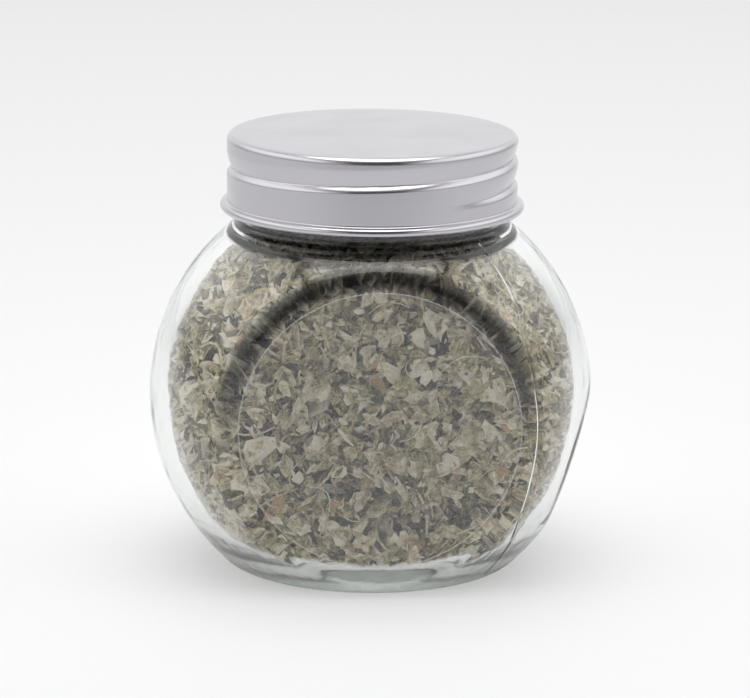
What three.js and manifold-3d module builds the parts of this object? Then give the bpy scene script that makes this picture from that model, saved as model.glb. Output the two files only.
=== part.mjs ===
// Squat globe jar of clear glass, filled with dried parsley flakes and closed by an aluminium screw lid.
// Millimetres, +Z up. The jar stands on z = 0, its round flat panel faces -Y, and its axis is the line
// x = 0, y = AXIS_Y, which puts the origin under the middle of the object's bounding box.
import * as THREE from 'three';
import { ConvexGeometry } from 'three/addons/geometries/ConvexGeometry.js';
import { mergeVertices } from 'three/addons/utils/BufferGeometryUtils.js';
import Module from 'manifold-3d';

const wasm = await Module();
wasm.setup();

const TURN = 2 * Math.PI;
const SEGMENTS = 48; // facets round every turned piece
const GAP = 0.25; // between pieces that touch on the real thing
const NEARLY = 0.01; // closer than this counts as the same

// Glass globe
const GLOBE_R = 50;
const GLOBE_Z = 38.2; // height of the globe's centre
const WALL = 4;
const HEEL_Z = 2.2; // the globe starts above the rounded heel
const HEEL_BEND = [33.2, 0.1];
const RING_OUTER_R = 30;
const RING_INNER_R = 27.5;
const PUSH_UP = [23.5, 1.8]; // radius and height of the hollow under the base, inside the bearing ring
const FLOOR_Z = 5.6; // inside floor at its edge
const FLOOR_CROWN_Z = 7;
const FLOOR_R = 27;
const FLOOR_BEND = [32.5, 5.6];
const INNER_HEEL_Z = 9;

// Shoulder, neck and mouth
const SHOULDER_R = 33.2; // the globe turns into the neck's fillet here
const NECK_R = 30.2;
const NECK_FOOT_Z = 80;
const BORE_R = 27.4;
const BORE_FOOT_Z = 77.5;
const BORE_BEND = [27.6, 74.9];
const INNER_SHOULDER_R = 30;
const RIM_Z = 95.9;
const RIM_ROUND = 0.6;

// Flats on the globe: direction they face, distance from the globe's centre, rounding where they meet it
const PANEL = { normal: new THREE.Vector3(0, -1, 0), distance: 36.1, wall: 3.5, blend: 1.7, innerBlend: 4 };
const SIDE_AZIMUTH = THREE.MathUtils.degToRad(-6);
const SIDE_DIP = THREE.MathUtils.degToRad(17.6); // faces this far below the horizontal
const SIDE_FLAT = {
  normal: new THREE.Vector3(
    Math.cos(SIDE_DIP) * Math.cos(SIDE_AZIMUTH),
    Math.cos(SIDE_DIP) * Math.sin(SIDE_AZIMUTH),
    -Math.sin(SIDE_DIP),
  ),
  distance: 47.1,
  wall: 3.4,
  blend: 1,
  innerBlend: 1.5,
};
const FLATS = [PANEL, SIDE_FLAT];
const RIM_REACH = THREE.MathUtils.degToRad(10); // corners this near a flat's rim are drawn towards it
const RIM_PULL = 1.8;

// Threads are right-handed, and their angles start at +X. Each is a hump on a helix that fades at both ends.
// The lid's rolled groove runs half a pitch under the glass thread.
const PITCH = 5.54;
const LID_THREAD = {
  start: THREE.MathUtils.degToRad(-64),
  sweep: THREE.MathUtils.degToRad(450),
  z: 86,
  halfWidth: 1.9,
  depth: 1.1,
  runIn: THREE.MathUtils.degToRad(40),
};
const NECK_THREAD_START = THREE.MathUtils.degToRad(-100);
const NECK_THREAD = {
  start: NECK_THREAD_START,
  sweep: THREE.MathUtils.degToRad(380),
  z: LID_THREAD.z + PITCH * (0.5 + (NECK_THREAD_START - LID_THREAD.start) / TURN),
  halfWidth: 1.3,
  depth: 1,
  runIn: THREE.MathUtils.degToRad(25),
};

// Lid
const LID_R = 32.5;
const LID_TOP_Z = 97.7;
const SHEET = 0.5;
const LID_ROUND = 1.5;
const BEAD_R = 33;
const BEAD_Z = 81.5;
const BEAD_TUBE_R = 1;
const LID_SHOULDER = 1.4; // straight wall between the rounded edge and the thread

// Liner and label
const LINER_R = 31;
const LABEL_R = 31;
const LABEL_GAP = 0.15;
const LABEL_THICKNESS = 0.25;
const LABEL_SEGMENTS = 64;

// Filling: a crumpled heap with flakes and stem bits standing out of it
const FILL_MARGIN = 0.6; // the filling stays this far inside the glass
const FILL_TOP_Z = 84;
const HEAP_POINTS = 1000;
const HEAP_DEPTH = [0.4, 4.2]; // of its corners, under the outermost flakes
const FLAKE_COUNT = 96;
const FLAKE_LENGTH = [7, 10.5];
const FLAKE_WIDTH = [0.55, 0.85]; // of its length
const FLAKE_SKEW = 0.15; // how far its corners wander, of its length
const FLAKE_CURL = [0.02, 0.08];
const FLAKE_THICKNESS = 0.7;
const FLAKE_TILT = 0.7;
const STEM_COUNT = 10;
const STEM_LENGTH = [9, 15];
const STEM_R = 0.6;
const STEM_SIDES = 4;
const STEM_TILT = 0.2;
const SEED = 20511;

const PANEL_FRONT_Y = -(PANEL.distance + LABEL_GAP + LABEL_THICKNESS);
const AXIS_Y = -(PANEL_FRONT_Y + GLOBE_R) / 2;

// Repeatable random numbers from 0 to 1
function randomSource(seed) {
  let state = seed;
  return () => {
    state = (Math.imul(state, 1664525) + 1013904223) >>> 0;
    return state / 4294967296;
  };
}

function between(random, [low, high]) {
  return low + (high - low) * random();
}

// The smaller of two lengths, rounded off where they are nearly alike
function softMin(a, b, blend) {
  const nearness = Math.max(blend - Math.abs(a - b), 0) / blend;
  return Math.min(a, b) - (nearness * nearness * blend) / 4;
}

// Distance from the globe's centre to a flat's plane, along one direction
function reachOf(flat, inset, direction) {
  const facing = flat.normal.dot(direction);
  return facing > NEARLY ? (flat.distance - inset) / facing : Infinity;
}

// Slides a corner along the globe towards the rim of a flat, so that the rim comes out as a clean circle
function drawToRim(corner, flat, inset) {
  const radius = corner.length();
  const rim = Math.acos((flat.distance - inset) / radius);
  const away = corner.angleTo(flat.normal);
  const offset = (away - rim) / RIM_REACH;
  if (Math.abs(offset) < 1) {
    const drawn = rim + RIM_REACH * Math.sign(offset) * Math.abs(offset) ** RIM_PULL;
    const side = new THREE.Vector3().crossVectors(flat.normal, corner).normalize();
    corner.applyAxisAngle(side, drawn - away);
  }
}

// How far a thread stands out at one angle and height
function threadHeight(thread, angle, z) {
  let height = 0;
  for (let turn = -1; turn <= 2; turn += 1) {
    const along = angle + turn * TURN - thread.start;
    const offset = Math.abs(z - thread.z - (PITCH * along) / TURN) / thread.halfWidth;
    if (along >= 0 && along <= thread.sweep && offset < 1) {
      const fade = Math.min(1, along / thread.runIn, (thread.sweep - along) / thread.runIn);
      height = Math.max(height, thread.depth * fade * Math.cos((offset * Math.PI) / 2) ** 2);
    }
  }
  return height;
}

// Points of a circle about a centre on the profile plane, angles from straight down
function arc(centreRho, centreZ, radius, from, to, steps) {
  return Array.from({ length: steps + 1 }, (_, i) => {
    const angle = from + ((to - from) * i) / steps;
    return [centreRho + radius * Math.sin(angle), centreZ - radius * Math.cos(angle)];
  });
}

// Points of a rounded corner between two profile points, without the two themselves
function bend(from, through, to, steps) {
  const curve = new THREE.QuadraticBezierCurve(
    new THREE.Vector2(...from),
    new THREE.Vector2(...through),
    new THREE.Vector2(...to),
  );
  return curve.getPoints(steps).slice(1, -1).map((point) => [point.x, point.y]);
}

// Evenly spaced points on an upright wall, both ends included
function wall(rho, from, to, steps) {
  return Array.from({ length: steps + 1 }, (_, i) => [rho, from + ((to - from) * i) / steps]);
}

// Merges shared corners and drops the triangles without area that a pole leaves
function welded(geometry) {
  geometry.deleteAttribute('normal');
  geometry.deleteAttribute('uv');
  const merged = mergeVertices(geometry, 1e-4);
  const corners = Array.from(merged.index.array);
  const kept = [];
  for (let i = 0; i < corners.length; i += 3) {
    const [a, b, c] = corners.slice(i, i + 3);
    if (a !== b && b !== c && c !== a) kept.push(a, b, c);
  }
  merged.setIndex(kept);
  return merged;
}

// Turns a profile of [radius, height] points, axis to axis, then lets reshape move each corner
function turned(profile, reshape) {
  const points = profile.map(([rho, z]) => new THREE.Vector2(rho, z));
  const geometry = new THREE.LatheGeometry(points, SEGMENTS).rotateX(Math.PI / 2);
  const position = geometry.attributes.position;
  const corner = new THREE.Vector3();
  for (let i = 0; i < position.count; i += 1) {
    corner.fromBufferAttribute(position, i);
    reshape(corner, i % points.length);
    position.setXYZ(i, corner.x, corner.y, corner.z);
  }
  return welded(geometry);
}

// Moves a corner in towards the axis, or out from it
function moveOut(corner, distance) {
  const rho = Math.hypot(corner.x, corner.y);
  corner.x *= (rho + distance) / rho;
  corner.y *= (rho + distance) / rho;
}

// Angle from straight down at which a globe of this radius reaches a height, or on its upper half a radius
const angleAtHeight = (radius, z) => Math.acos((GLOBE_Z - z) / radius);
const angleAtRho = (radius, rho) => Math.PI - Math.asin(rho / radius);

function onGlobe(radius, angle) {
  return arc(0, GLOBE_Z, radius, angle, angle, 1)[0];
}

// Outside of the glass, from under the base up to the rim
function outsideProfile() {
  const heel = angleAtHeight(GLOBE_R, HEEL_Z);
  const shoulder = angleAtRho(GLOBE_R, SHOULDER_R);
  const shoulderPoint = onGlobe(GLOBE_R, shoulder);
  const tangentZ = shoulderPoint[1] + ((SHOULDER_R - NECK_R) * SHOULDER_R) / (shoulderPoint[1] - GLOBE_Z);
  return [
    [0, PUSH_UP[1]],
    PUSH_UP,
    [RING_INNER_R, 0],
    [RING_OUTER_R, 0],
    ...bend([RING_OUTER_R, 0], HEEL_BEND, onGlobe(GLOBE_R, heel), 3),
    ...arc(0, GLOBE_Z, GLOBE_R, heel, shoulder, 17),
    ...bend(shoulderPoint, [NECK_R, tangentZ], [NECK_R, NECK_FOOT_Z], 3),
    ...wall(NECK_R, NECK_FOOT_Z, RIM_Z - RIM_ROUND, 14),
    [NECK_R - RIM_ROUND, RIM_Z],
  ];
}

// Inside of the glass, from the rim down to the middle of the floor
function insideProfile() {
  const inner = GLOBE_R - WALL;
  const shoulder = angleAtRho(inner, INNER_SHOULDER_R);
  const floor = angleAtHeight(inner, INNER_HEEL_Z);
  return [
    [BORE_R + RIM_ROUND, RIM_Z],
    [BORE_R, RIM_Z - RIM_ROUND],
    [BORE_R, BORE_FOOT_Z],
    ...bend([BORE_R, BORE_FOOT_Z], BORE_BEND, onGlobe(inner, shoulder), 3),
    ...arc(0, GLOBE_Z, inner, shoulder, floor, 11),
    ...bend(onGlobe(inner, floor), FLOOR_BEND, [FLOOR_R, FLOOR_Z], 3),
    [FLOOR_R, FLOOR_Z],
    [0, FLOOR_CROWN_Z],
  ];
}

// Flattens a corner of the globe onto the flats, insets given by insetOf and roundings by blendOf
function flatten(corner, radius, insetOf, blendOf) {
  corner.z -= GLOBE_Z;
  if (Math.abs(corner.length() - radius) < NEARLY) {
    FLATS.forEach((flat) => drawToRim(corner, flat, insetOf(flat)));
  }
  const reach = corner.length();
  const direction = corner.clone().divideScalar(reach);
  const limit = (r, flat) => softMin(r, reachOf(flat, insetOf(flat), direction), blendOf(flat));
  corner.copy(direction).multiplyScalar(FLATS.reduce(limit, reach));
  corner.z += GLOBE_Z;
}

function glassJar() {
  const outside = outsideProfile();
  return turned([...outside, ...insideProfile()], (corner, row) => {
    if (corner.z > NECK_FOOT_Z && row < outside.length) {
      moveOut(corner, threadHeight(NECK_THREAD, Math.atan2(corner.y, corner.x), corner.z));
    } else if (row < outside.length) {
      flatten(corner, GLOBE_R, () => 0, (flat) => flat.blend);
    } else {
      flatten(corner, GLOBE_R - WALL, (flat) => flat.wall, (flat) => flat.innerBlend);
    }
  });
}

// Aluminium sheet, outside from the top's middle to the bead, then back up the inside
function screwLid() {
  const innerR = LID_R - SHEET;
  const topOfWall = LID_TOP_Z - LID_ROUND;
  const skirtTop = topOfWall - LID_SHOULDER;
  const skirtFoot = BEAD_Z + BEAD_TUBE_R + 0.3;
  const profile = [
    [0, LID_TOP_Z],
    ...arc(LID_R - LID_ROUND, topOfWall, LID_ROUND, Math.PI, Math.PI / 2, 3),
    ...wall(LID_R, skirtTop, skirtFoot, 14),
    ...arc(BEAD_R, BEAD_Z, BEAD_TUBE_R, Math.PI * 0.9, 0, 5),
    [innerR, BEAD_Z - BEAD_TUBE_R + 0.4],
    ...wall(innerR, skirtFoot, skirtTop, 14),
    ...arc(LID_R - LID_ROUND, topOfWall, LID_ROUND - SHEET, Math.PI / 2, Math.PI, 2),
    [0, LID_TOP_Z - SHEET],
  ];
  return turned(profile.reverse(), (corner) => {
    const upright = Math.hypot(corner.x, corner.y) > innerR - NEARLY;
    if (upright && corner.z > skirtFoot - NEARLY && corner.z < topOfWall) {
      moveOut(corner, -threadHeight(LID_THREAD, Math.atan2(corner.y, corner.x), corner.z));
    }
  });
}

function lidLiner() {
  const bottom = RIM_Z + GAP;
  const top = LID_TOP_Z - SHEET - GAP;
  return new THREE.CylinderGeometry(LINER_R, LINER_R, top - bottom, SEGMENTS)
    .rotateX(Math.PI / 2)
    .translate(0, 0, (top + bottom) / 2);
}

function panelLabel() {
  return new THREE.CylinderGeometry(LABEL_R, LABEL_R, LABEL_THICKNESS, LABEL_SEGMENTS)
    .translate(0, PANEL_FRONT_Y + LABEL_THICKNESS / 2, GLOBE_Z);
}

// Distance from the globe's centre to the outside of the filling, along one direction
function fillReach(direction) {
  const across = Math.hypot(direction.x, direction.y);
  const globe = GLOBE_R - WALL - FILL_MARGIN;
  const column = Math.min((BORE_R - FILL_MARGIN) / across, (FILL_TOP_Z - GLOBE_Z) / direction.z);
  const floor = (GLOBE_Z - FLOOR_CROWN_Z - FILL_MARGIN) / -direction.z;
  const inGlobe = direction.z > 0 ? Math.max(globe, column) : Math.min(globe, floor);
  const limit = (r, flat) => softMin(r, reachOf(flat, flat.wall + FILL_MARGIN, direction), flat.innerBlend);
  return FLATS.reduce(limit, inGlobe);
}

function solidOf(geometry) {
  const mesh = new wasm.Mesh({
    numProp: 3,
    vertProperties: new Float32Array(geometry.attributes.position.array),
    triVerts: new Uint32Array(geometry.index.array),
  });
  return new wasm.Manifold(mesh);
}

function geometryOf(solid) {
  const mesh = solid.getMesh();
  const geometry = new THREE.BufferGeometry();
  geometry.setAttribute('position', new THREE.BufferAttribute(mesh.vertProperties, 3));
  geometry.setIndex(new THREE.BufferAttribute(mesh.triVerts, 1));
  return geometry;
}

// A direction picked at random, every one as likely
function anyDirection(random) {
  const up = 2 * random() - 1;
  const azimuth = TURN * random();
  const across = Math.sqrt(1 - up * up);
  return new THREE.Vector3(across * Math.cos(azimuth), across * Math.sin(azimuth), up);
}

// The heap: corners spread evenly over all directions, each at its own depth, joined into crumpled facets
function heapGeometry(random) {
  const golden = Math.PI * (3 - Math.sqrt(5));
  const directions = Array.from({ length: HEAP_POINTS }, (_, i) => {
    const up = 1 - (2 * i + 1) / HEAP_POINTS;
    const across = Math.sqrt(1 - up * up);
    return new THREE.Vector3(across * Math.cos(golden * i), across * Math.sin(golden * i), up);
  });
  const heap = welded(new ConvexGeometry(directions));
  const position = heap.attributes.position;
  const corner = new THREE.Vector3();
  for (let i = 0; i < position.count; i += 1) {
    corner.fromBufferAttribute(position, i).normalize();
    corner.multiplyScalar(fillReach(corner) - between(random, HEAP_DEPTH));
    position.setXYZ(i, corner.x, corner.y, corner.z);
  }
  return heap;
}

// One leaf fragment: a four-cornered blade, curled across its length
function flakeGeometry(random) {
  const length = between(random, FLAKE_LENGTH);
  const width = length * between(random, FLAKE_WIDTH);
  const skew = () => between(random, [-FLAKE_SKEW, FLAKE_SKEW]) * length;
  const outline = new THREE.Shape([
    new THREE.Vector2(-length / 2, skew()),
    new THREE.Vector2(skew(), -width / 2),
    new THREE.Vector2(length / 2, skew()),
    new THREE.Vector2(skew(), width / 2),
  ]);
  const blade = new THREE.ExtrudeGeometry(outline, { depth: FLAKE_THICKNESS, bevelEnabled: false, steps: 1 });
  const curl = between(random, FLAKE_CURL);
  const position = blade.attributes.position;
  for (let i = 0; i < position.count; i += 1) {
    position.setZ(i, position.getZ(i) - curl * position.getY(i) ** 2);
  }
  return welded(blade);
}

function stemGeometry(random) {
  const length = between(random, STEM_LENGTH);
  return welded(new THREE.CylinderGeometry(STEM_R, STEM_R, length, STEM_SIDES).rotateZ(Math.PI / 2));
}

// Lays a piece on the heap at a random place, tilted a little, and draws it in until it clears the glass
function laid(piece, random, tilt) {
  const outward = anyDirection(random);
  const onTop = new THREE.Quaternion().setFromUnitVectors(new THREE.Vector3(0, 0, 1), outward);
  const spin = new THREE.Euler(tilt * (random() - 0.5), tilt * (random() - 0.5), TURN * random(), 'ZXY');
  piece.applyQuaternion(onTop.multiply(new THREE.Quaternion().setFromEuler(spin)));
  const position = piece.attributes.position;
  const corner = new THREE.Vector3();
  const clears = (shift) => {
    for (let i = 0; i < position.count; i += 1) {
      corner.fromBufferAttribute(position, i).addScaledVector(outward, shift);
      const distance = corner.length();
      if (distance > fillReach(corner.divideScalar(distance))) return false;
    }
    return true;
  };
  let shift = fillReach(outward);
  while (!clears(shift)) shift -= GAP;
  return piece.translate(outward.x * shift, outward.y * shift, outward.z * shift);
}

// The heap with flakes and stem bits standing out of it all over, fused into one body
function parsleyFlakes() {
  const random = randomSource(SEED);
  const heap = solidOf(heapGeometry(random));
  const flakes = Array.from({ length: FLAKE_COUNT }, () => laid(flakeGeometry(random), random, FLAKE_TILT));
  const stems = Array.from({ length: STEM_COUNT }, () => laid(stemGeometry(random), random, STEM_TILT));
  const fused = [...flakes, ...stems].reduce((whole, piece) => whole.add(solidOf(piece)), heap);
  const bodies = fused.decompose().sort((a, b) => b.volume() - a.volume());
  return geometryOf(bodies[0]).translate(0, 0, GLOBE_Z);
}

function named(name, geometry, finish) {
  const mesh = new THREE.Mesh(geometry, new THREE.MeshStandardMaterial(finish));
  mesh.name = name;
  return mesh;
}

const CLEAR_GLASS = { color: 0xdfe8e2, roughness: 0.05, metalness: 0, transparent: true, opacity: 0.35 };
const CLEAR_FILM = { color: 0xe8e8e6, roughness: 0.3, metalness: 0, transparent: true, opacity: 0.4 };
const ALUMINIUM = { color: 0xd4d3d8, roughness: 0.35, metalness: 1 };
const LINER_FOAM = { color: 0xf0f0ec, roughness: 0.7, metalness: 0 };
const DRIED_LEAF = { color: 0x6e6946, roughness: 0.85, metalness: 0 };

const jarOfParsley = new THREE.Group();
jarOfParsley.name = 'jar_of_parsley_flakes';
jarOfParsley.position.y = AXIS_Y;
jarOfParsley.add(named('glass_jar', glassJar(), CLEAR_GLASS));
jarOfParsley.add(named('parsley_flakes', parsleyFlakes(), DRIED_LEAF));
jarOfParsley.add(named('panel_label', panelLabel(), CLEAR_FILM));
jarOfParsley.add(named('lid_liner', lidLiner(), LINER_FOAM));
jarOfParsley.add(named('screw_lid', screwLid(), ALUMINIUM));

export default jarOfParsley;
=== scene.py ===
"""Squat globe jar of clear glass, filled with dried parsley flakes and closed by an aluminium screw lid.

Metres, +Z up. The jar stands on z = 0 with its round flat panel facing -Y, and its axis is the upright line
x = 0, y = AXIS_Y. Every surface is a function of two parameters worked out on a numpy grid. Among the sizes,
a Pair is a range or a (radius, height), a Grain a noise's scale, detail and roughness, and a Spread the low and
high values that a range, from its start to its end, is carried to.
"""

import logging
import math
from dataclasses import dataclass
from enum import Enum

import bmesh
import bpy
import numpy as np
from mathutils import Matrix, Vector


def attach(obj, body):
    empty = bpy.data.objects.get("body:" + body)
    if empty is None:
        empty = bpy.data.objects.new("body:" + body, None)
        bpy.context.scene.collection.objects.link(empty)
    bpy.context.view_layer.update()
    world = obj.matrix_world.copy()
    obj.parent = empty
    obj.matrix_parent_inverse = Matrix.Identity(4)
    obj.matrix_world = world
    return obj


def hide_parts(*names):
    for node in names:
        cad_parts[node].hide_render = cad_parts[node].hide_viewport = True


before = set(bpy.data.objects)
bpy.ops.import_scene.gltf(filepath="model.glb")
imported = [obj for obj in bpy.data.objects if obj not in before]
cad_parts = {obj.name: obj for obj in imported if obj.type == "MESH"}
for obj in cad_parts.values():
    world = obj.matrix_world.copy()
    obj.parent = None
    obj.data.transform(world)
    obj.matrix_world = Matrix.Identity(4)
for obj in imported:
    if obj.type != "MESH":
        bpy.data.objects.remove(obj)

LOG = logging.getLogger("jar")
MM = 0.001
TURN = 2 * math.pi
AXIS_Y = -6.75 * MM
GLOBE_Z = 38.2 * MM
PITCH = 5.54 * MM
SEED = 20511
TINY = 1e-9
AXIS = (0.0, AXIS_Y, 0.0)
CENTRE = (0.0, 0.0, GLOBE_Z)
WHITE = (1.0, 1.0, 1.0, 1.0)

Array = np.ndarray
Socket = bpy.types.NodeSocket
Triple = tuple[float, float, float]
Colour = Triple
Paint = tuple[float, float, float, float]
Stops = tuple[tuple[float, Colour], ...]
Pair = tuple[float, float]
Spread = tuple[float, float, float, float]
Grain = tuple[float, ...]


class Body(Enum):
    """Rigid bodies of the jar, as the frame names them."""

    JAR = "jar"
    LINER = "liner"
    LID = "lid"


class Slot(Enum):
    """Finishes of the jar, as the frame's record names them."""

    GLASS = "clear_glass"
    LID = "aluminium_lid"
    LINER = "lid_liner"
    FLAKES = "dried_parsley"
    FILM = "clear_film"


# ---------------------------------------- shape helpers


def unit(vectors: Array) -> Array:
    """Vectors along the last axis, each brought to length 1."""
    return vectors / np.maximum(np.linalg.norm(vectors, axis=-1, keepdims=True), TINY)


def eased(t: Array) -> Array:
    """Smooth step 3t^2 - 2t^3, with t held between 0 and 1."""
    t = np.clip(t, 0, 1)
    return t * t * (3 - 2 * t)


def soft_min(a: Array, b: Array, blend: float) -> Array:
    """The smaller of two lengths, rounded off where they are nearly alike.

    Formula: min(a, b) - h^2 * blend / 4, with h = max(blend - |a - b|, 0) / blend.

    Args:
        a: first lengths.
        b: second lengths.
        blend: difference under which the two are blended.

    Returns:
        The blended minimum, same shape as the inputs.
    """
    near = np.maximum(blend - np.abs(a - b), 0.0) / blend
    return np.minimum(a, b) - near * near * blend / 4


def arc(centre: Pair, radius: float, start: float, end: float, count: int) -> Array:
    """Points of a circle on the profile plane.

    Formula: (rho, z) = centre + radius * (sin a, -cos a), so a = 0 is straight down.

    Args:
        centre: (rho, z) of the circle's centre.
        radius: its radius.
        start: first angle in radians.
        end: last angle in radians.
        count: number of points.

    Returns:
        (count, 2) array of (rho, z).
    """
    a = np.linspace(start, end, count)
    return np.stack([centre[0] + radius * np.sin(a), centre[1] - radius * np.cos(a)], 1)


def bend(start: Array | Pair, through: Pair, end: Array | Pair, count: int) -> Array:
    """Points of a rounded corner, both ends included.

    Formula: quadratic Bezier curve (1-t)^2 start + 2t(1-t) through + t^2 end.

    Args:
        start: (rho, z) where it starts.
        through: its control point.
        end: (rho, z) where it ends.
        count: number of points.

    Returns:
        (count, 2) array of (rho, z).
    """
    t = np.linspace(0.0, 1.0, count)[:, None]
    return (1 - t) ** 2 * np.asarray(start) + 2 * t * (1 - t) * np.asarray(through) + t**2 * np.asarray(end)


def line(start: Pair, end: Pair, count: int) -> Array:
    """Evenly spaced points on a straight stretch of a profile, both ends included."""
    t = np.linspace(0.0, 1.0, count)[:, None]
    return (1 - t) * np.asarray(start) + t * np.asarray(end)


def joined(*sections: Array) -> Array:
    """Profile sections of (rho, z) end to end, less each point that repeats the one before it."""
    points = np.concatenate(sections)
    step = np.linalg.norm(np.diff(points, axis=0), axis=1)
    return points[np.concatenate([[True], step > 1e-3 * MM])]


def round_angles(count: int) -> Array:
    """Angles spaced evenly all round, from 0."""
    return np.linspace(0, TURN, count, endpoint=False)


def swept(profile: Array, angles: Array) -> Array:
    """Grid of a profile turned round the upright axis.

    Formula: p = (rho cos a, rho sin a, z).

    Args:
        profile: (R, 2) array of (rho, z).
        angles: (C,) array of angles from +X.

    Returns:
        (R, C, 3) array of points.
    """
    rho, z = profile[:, :1], profile[:, 1:]
    x, y = rho * np.cos(angles), rho * np.sin(angles)
    return np.stack([x, y, np.broadcast_to(z, x.shape)], 2)


def band(first: Array, second: Array) -> Array:
    """Triangles between rings of point numbers, two for each step round.

    Args:
        first: (..., C) point numbers of rings that close on themselves.
        second: (..., C) numbers of the rings that they join.

    Returns:
        (F, 3) array of point numbers.
    """
    after, across = np.roll(first, -1, -1), np.roll(second, -1, -1)
    halves = [np.stack([first, after, across], -1), np.stack([first, across, second], -1)]
    return np.concatenate(halves).reshape(-1, 3)


def fan(ring: Array, tip: int) -> Array:
    """Triangles from a ring of point numbers to one point."""
    return np.stack([ring, np.roll(ring, -1), np.full_like(ring, tip)], 1)


def closed_skin(grid: Array) -> tuple[Array, Array]:
    """Points and triangles of a grid that closes round its columns and ends in a pole at both ends.

    Args:
        grid: (R, C, 3) points; the first and the last row are each one point repeated.

    Returns:
        (points, triangles), faces turned outwards for a profile that runs counter-clockwise.
    """
    rows, columns = grid.shape[:2]
    points = np.concatenate([grid[1:-1].reshape(-1, 3), grid[:1, 0], grid[-1:, 0]])
    numbers = np.arange((rows - 2) * columns).reshape(-1, columns)
    poles = fan(numbers[0], numbers.size)[:, ::-1], fan(numbers[-1], numbers.size + 1)
    return points, np.concatenate([band(numbers[:-1], numbers[1:]), *poles])


def mesh_object(
    name: str, points: Array, faces: Array, smooth: bool, finish: bpy.types.Material
) -> bpy.types.Object:
    """An object made of points and faces, at the origin.

    Args:
        name: the object's name.
        points: (V, 3) array.
        faces: (F, 3) array of corner numbers.
        smooth: whether faces shade smooth.
        finish: its material.

    Returns:
        The new object, linked to the scene.
    """
    mesh = bpy.data.meshes.new(name)
    mesh.vertices.add(len(points))
    mesh.vertices.foreach_set("co", np.ascontiguousarray(points, np.float32).ravel())
    mesh.loops.add(faces.size)
    mesh.loops.foreach_set("vertex_index", np.ascontiguousarray(faces, np.int32).ravel())
    mesh.polygons.add(len(faces))
    mesh.polygons.foreach_set("loop_start", np.arange(0, faces.size, 3, dtype=np.int32))
    mesh.polygons.foreach_set("use_smooth", np.full(len(faces), smooth))
    mesh.update(calc_edges=True)
    mesh.validate()
    mesh.materials.append(finish)
    made = bpy.data.objects.new(name, mesh)
    bpy.context.scene.collection.objects.link(made)
    return made


def mapped(piece: bpy.types.Object, name: str, uv: Array, wraps: bool = False) -> None:
    """Adds a UV map from one pair per point.

    Args:
        piece: the object.
        name: the map's name.
        uv: (V, 2) array.
        wraps: whether u runs from 0 to 1 round a closed piece, so faces across the join take u + 1.
    """
    mesh = piece.data
    corners = np.zeros(len(mesh.loops), np.int32)
    mesh.loops.foreach_get("vertex_index", corners)
    pairs = uv[corners].reshape(-1, 3, 2)
    if wraps:
        high = pairs[..., 0].max(1, keepdims=True) > 0.75
        pairs[..., 0] += np.where(high & (pairs[..., 0] < 0.25), 1.0, 0.0)
    layer = mesh.uv_layers.new(name=name)
    layer.data.foreach_set("uv", pairs.astype(np.float32).ravel())


def on_body(piece: bpy.types.Object, body: Body, slot: Slot, *nodes: str) -> None:
    """Makes a piece ride on a body and stand for frame nodes, which it hides."""
    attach(piece, body.value)
    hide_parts(*nodes)
    LOG.info("%s: %d faces on %s", piece.name, len(piece.data.polygons), body.value)


# ---------------------------------------- finishes


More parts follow.
